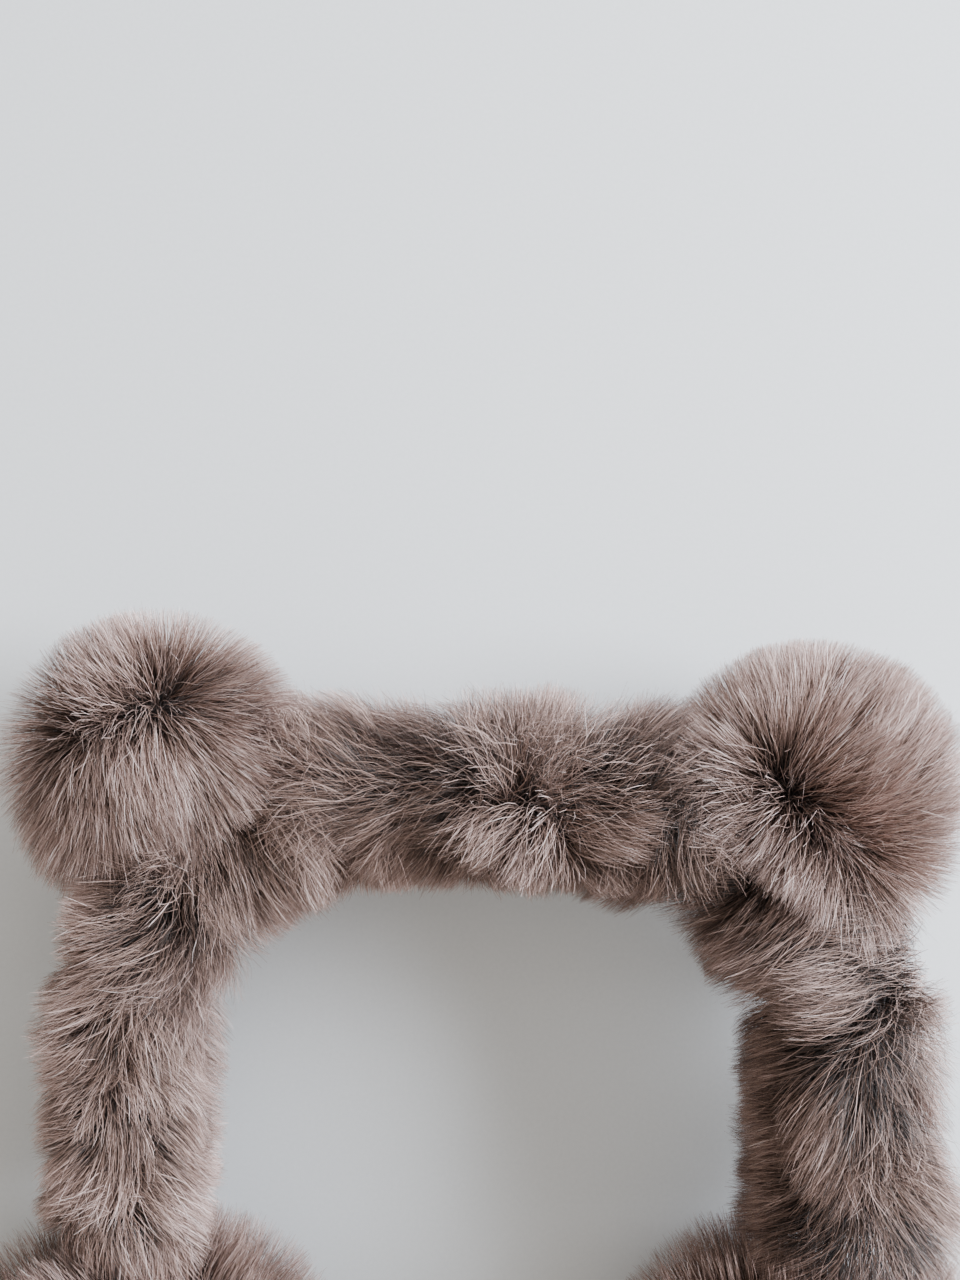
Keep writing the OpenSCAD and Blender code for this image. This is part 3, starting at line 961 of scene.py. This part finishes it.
# %% [markdown]
# ## What the fur hides
#
# The strip, the foam, the plates and the trimmings are the CAD's own solids. Their shapes are right,
# so each keeps its mesh and only gets the finish that its maker gives it. They would show if a seam
# were opened, and a real one is never one flat colour.
#
# The spring is cold-rolled carbon steel. Rolling leaves fine lines along the strip, at one height
# across its width, so a noise squeezed along Z draws them: 0.4 mm apart, coarser than real ones so
# that they show. A metal's colour is its reflection, so it has Metallic at 1 and keeps its IOR.

# %% Cold-rolled spring steel, nickel-plated pins and rivets
ROLLING_LINE = 0.4 * MM
TUMBLING_MARK = 0.6 * MM


def metal_material(name, dark, light, mark, stretch, low, high):
    """Bare metal with worn marks: a stretched noise sets its tone, its gloss and a slight relief."""
    material = new_material(name, Metallic=1.0)
    place = add(material, "ShaderNodeTexCoord")
    squeezed = add(
        material, "ShaderNodeMapping", {"Vector": (place, "Object")}, {"Scale": stretch}
    )
    marks = add(
        material, "ShaderNodeTexNoise", {"Vector": (squeezed, "Vector")},
        {"Scale": 1 / mark, "Detail": 4.0, "Roughness": 0.6},
    )
    tone = add(material, "ShaderNodeValToRGB", {"Fac": (marks, "Fac")})
    tone.color_ramp.elements[0].color = linear(dark)
    tone.color_ramp.elements[1].color = linear(light)
    gloss = add(
        material, "ShaderNodeMapRange", {"Value": (marks, "Fac")}, {"To Min": low, "To Max": high}
    )
    relief = add(
        material, "ShaderNodeBump", {"Height": (marks, "Fac")},
        {"Strength": 0.15, "Distance": 0.05 * MM},
    )
    plug(material, tone, "Color", "Base Color")
    plug(material, gloss, "Result", "Roughness")
    plug(material, relief, "Normal", "Normal")
    return material


spring_steel = metal_material(
    "cold_rolled_spring_steel", "8f9196", "c9cbce", ROLLING_LINE, (0.03, 0.03, 1.0), 0.24, 0.42
)
plated_steel = metal_material(
    "nickel_plated_steel", "b3afa6", "dcd8cf", TUMBLING_MARK, (1.0, 1.0, 1.0), 0.16, 0.34
)

# %% [markdown]
# The sheath round the strip is open-cell polyurethane foam. Its cells are bubbles, which a Voronoi
# texture draws about 0.9 mm across: pale walls round hollows darkened with painted shade, with a
# slow yellowing over them. The sockets and plates are moulded polypropylene from a spark-eroded
# tool, whose fine matt grain is a bump of 0.3 mm.

# %% Open-cell foam
FOAM_CELL = 0.9 * MM
MOULD_GRAIN = 0.3 * MM


def foam_material():
    """Cells as hollows darkened with painted shade between pale walls, and a slow yellowing."""
    material = new_material("open_cell_polyurethane_foam", IOR=1.5, Specular_IOR_Level=0.2)
    place = add(material, "ShaderNodeTexCoord")
    cells = add(
        material, "ShaderNodeTexVoronoi", {"Vector": (place, "Object")}, {"Scale": 1 / FOAM_CELL}
    )
    ageing = add(
        material, "ShaderNodeTexNoise", {"Vector": (place, "Object")}, {"Scale": 1 / (25 * MM)}
    )
    walls = add(
        material, "ShaderNodeMath", {0: (cells, "Distance"), 1: (ageing, "Fac")}, operation="MULTIPLY"
    )
    # The tone is darker in the hollows: painted shade, with the foam's own yellowing over it.
    tone = add(material, "ShaderNodeValToRGB", {"Fac": (walls, 0)})
    tone.color_ramp.elements[0].color = linear("b9b1a0")
    tone.color_ramp.elements[1].color = linear("eae6dc")
    tone.color_ramp.elements[1].position = 0.5
    dullness = add(
        material, "ShaderNodeMapRange", {"Value": (cells, "Distance")}, {"To Min": 0.95, "To Max": 0.85}
    )
    relief = add(
        material, "ShaderNodeBump", {"Height": (cells, "Distance")},
        {"Strength": 0.7, "Distance": 0.3 * MM},
    )
    plug(material, tone, "Color", "Base Color")
    plug(material, dullness, "Result", "Roughness")
    plug(material, relief, "Normal", "Normal")
    return material


# %% Moulded polypropylene


def plastic_material():
    """Matt moulded plastic: a fine grain from the tool, and a faint cloudiness from the flow."""
    material = new_material("moulded_polypropylene", IOR=1.49)
    place = add(material, "ShaderNodeTexCoord")
    grain = add(
        material, "ShaderNodeTexNoise", {"Vector": (place, "Object")},
        {"Scale": 1 / MOULD_GRAIN, "Detail": 2.0},
    )
    flow = add(
        material, "ShaderNodeTexNoise", {"Vector": (place, "Object")}, {"Scale": 1 / (18 * MM)}
    )
    tone = add(material, "ShaderNodeValToRGB", {"Fac": (flow, "Fac")})
    tone.color_ramp.elements[0].color = linear("241f1d")
    tone.color_ramp.elements[1].color = linear("2f2927")
    dullness = add(
        material, "ShaderNodeMapRange", {"Value": (grain, "Fac")}, {"To Min": 0.45, "To Max": 0.65}
    )
    relief = add(
        material, "ShaderNodeBump", {"Height": (grain, "Fac")}, {"Strength": 0.25, "Distance": 0.05 * MM}
    )
    plug(material, tone, "Color", "Base Color")
    plug(material, dullness, "Result", "Roughness")
    plug(material, relief, "Normal", "Normal")
    return material


sheath_foam = foam_material()
socket_plastic = plastic_material()

# %% [markdown]
# The tape at the sleeve's end and at the ears' roots is a plain weave, its threads 0.7 mm apart. The
# elastic in the pads' hem is braided, so its waves cross the other way. Both are cloth to a shader.
# Every solid takes its finish from what its name says it is.

# %% Tape, elastic, and the finishes put on
woven_tape = cloth_material("woven_polyester_tape", "3b2f2a", "6a574e", 0.7 * MM, 0.8, ("Y", "Z"))
hem_elastic = cloth_material("braided_hem_elastic", "1d1917", "453c38", 0.5 * MM, 0.7, ("DIAGONAL", "X"))
FINISHES = {
    "spring": spring_steel,
    "_foam": sheath_foam,
    "binding": woven_tape,
    "root_tape": woven_tape,
    "end_socket": socket_plastic,
    "pad_plate": socket_plastic,
    "rivet": plated_steel,
    "pad_pin": plated_steel,
    "hem_elastic": hem_elastic,
}
for ending, finish in FINISHES.items():
    for node, solid in frame["nodes"].items():
        if node.endswith(ending):
            solid.data.materials.clear()
            solid.data.materials.append(finish)
            print(node, "is finished in", finish.name)

# %% [markdown]
# ## Who moves with what
#
# The shoulder and the leg of each side, their jersey and their coats, ride with the side, and each
# pad and its coats ride with the pad. The crown's two halves and the ears stay where they were made.

# %% Riding
EAR_BEND_START = -13 * MM
EAR_BEND_END = 7 * MM
for side_name, side in SIDES.items():
    side_body = f"side_{side_name}"
    for coat_or_tube in (backing, band_fur):
        crown_piece = coat_or_tube[side_name, "crown"]
        start = (side * (FLEX_X - 12 * MM), CROWN_Y, CORE_Z)
        end = (side * (FLEX_X + 12 * MM), CROWN_Y, CORE_Z)
        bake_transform(crown_piece)
        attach(coat_or_tube[side_name, "shoulder"], side_body)
        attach(coat_or_tube[side_name, "leg"], side_body)
    centre, out, tangent = ear_places[side_name]
    hinge = np.array(joints[f"{side_name}_ear_bend"]["pos_m"])
    start = hinge + out * EAR_BEND_START
    end = hinge + out * EAR_BEND_END
    for piece in (ear_bodies[side_name], ear_fur[side_name, "front"], ear_fur[side_name, "back"]):
        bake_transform(piece)
    for piece in (pad_bodies[side_name], pad_fur[side_name, "inner"], pad_fur[side_name, "outer"]):
        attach(piece, f"pad_{side_name}")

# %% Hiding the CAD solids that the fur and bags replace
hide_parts("crown_fur")
for side_name in SIDES:
    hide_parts(f"{side_name}_shoulder_fur")
    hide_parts(f"{side_name}_leg_fur")
    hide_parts(f"{side_name}_ear_front")
    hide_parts(f"{side_name}_ear_back")
    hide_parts(f"{side_name}_ear_stuffing")
    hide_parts(f"{side_name}_pad_inner_fur")
    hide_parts(f"{side_name}_pad_outer_fur")
    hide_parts(f"{side_name}_pad_foam")

# %% [markdown]
# ## The table, the light and the camera
#
# The headband lies on a pale table in an evenly lit room. Most of the light comes from all round, so
# the table is only shaded close to the fur, where the fur hides half the room. A large lamp low on
# the right is the window, which gives the coat its bright side. The camera looks straight down.

# %% Painted table top
table_paint = new_material("matt_white_table_paint", IOR=1.46)
place = add(table_paint, "ShaderNodeTexCoord")
grain = add(
    table_paint, "ShaderNodeTexNoise", {"Vector": (place, "Object")},
    {"Scale": 1 / (1.2 * MM), "Detail": 4.0},
)
tint = add(table_paint, "ShaderNodeValToRGB", {"Fac": (grain, "Fac")})
tint.color_ramp.elements[0].color = linear("d3d6d6")
tint.color_ramp.elements[1].color = linear("dee0e0")
relief = add(
    table_paint, "ShaderNodeBump", {"Height": (grain, "Fac")}, {"Strength": 0.08, "Distance": 0.1 * MM}
)
dullness = add(
    table_paint, "ShaderNodeMapRange", {"Value": (grain, "Fac")}, {"To Min": 0.55, "To Max": 0.7}
)
plug(table_paint, tint, "Color", "Base Color")
plug(table_paint, dullness, "Result", "Roughness")
plug(table_paint, relief, "Normal", "Normal")

TABLE_SPAN = 12.0
table_points = np.array([(-1, -1, 0), (1, -1, 0), (1, 1, 0), (-1, 1, 0)], float) * TABLE_SPAN / 2
table = mesh_object("table_top", table_points, np.array([[0, 1, 2, 3]]), [table_paint], smooth=False)
table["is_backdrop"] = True

# %% Window light and sky
WINDOW_PLACE = (1.40, 0.60, 0.48)
WINDOW_TARGET = (0.0, 0.02, 0.0)
WINDOW_SIZE = 1.2
WINDOW_POWER = 190.0
ROOM_STRENGTH = 0.91


def area_lamp(name, place, target, size, power, colour):
    """A square lamp that looks at target."""
    data = bpy.data.lights.new(name, "AREA")
    data.shape = "SQUARE"
    data.size = size
    data.energy = power
    data.color = linear(colour)[:3]
    lamp = bpy.data.objects.new(name, data)
    lamp.location = place
    lamp.rotation_euler = (Vector(target) - Vector(place)).to_track_quat("-Z", "Y").to_euler()
    bpy.context.scene.collection.objects.link(lamp)
    return lamp


area_lamp("window", WINDOW_PLACE, WINDOW_TARGET, WINDOW_SIZE, WINDOW_POWER, "ecf3ff")
world = bpy.data.worlds.new("pale_room")
world.use_nodes = True
world.node_tree.nodes["Background"].inputs["Color"].default_value = linear("f6efe8")
world.node_tree.nodes["Background"].inputs["Strength"].default_value = ROOM_STRENGTH
bpy.context.scene.world = world

# %% Camera, straight above
CAMERA_HEIGHT = 0.48
VIEW_WIDTH = 254 * MM
VIEW_LEFT_OF_MIDDLE = 1.6 * MM
VIEW_ABOVE_CROWN = 44.3 * MM
VIEW_TURN = math.radians(0.8)
SENSOR = 24.0
camera_data = bpy.data.cameras.new("camera")
camera_data.sensor_fit = "HORIZONTAL"
camera_data.sensor_width = SENSOR
camera_data.lens = SENSOR * CAMERA_HEIGHT / VIEW_WIDTH
camera_data.clip_start = 0.01
camera = bpy.data.objects.new("camera", camera_data)
camera.location = (-VIEW_LEFT_OF_MIDDLE, CROWN_Y + VIEW_ABOVE_CROWN, CORE_Z + CAMERA_HEIGHT)
camera.rotation_euler = (0.0, 0.0, VIEW_TURN)
bpy.context.scene.collection.objects.link(camera)
bpy.context.scene.camera = camera

# %% [markdown]
# ## The size it comes out
#
# The fur may stand a little proud of the CAD box, but not much. Both boxes are printed.

# %% Sizes, and the end
visual_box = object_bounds()
for label, box in (("CAD", cad_box), ("visual", visual_box)):
    print(label, [[round(value / MM, 1) for value in corner] for corner in box])
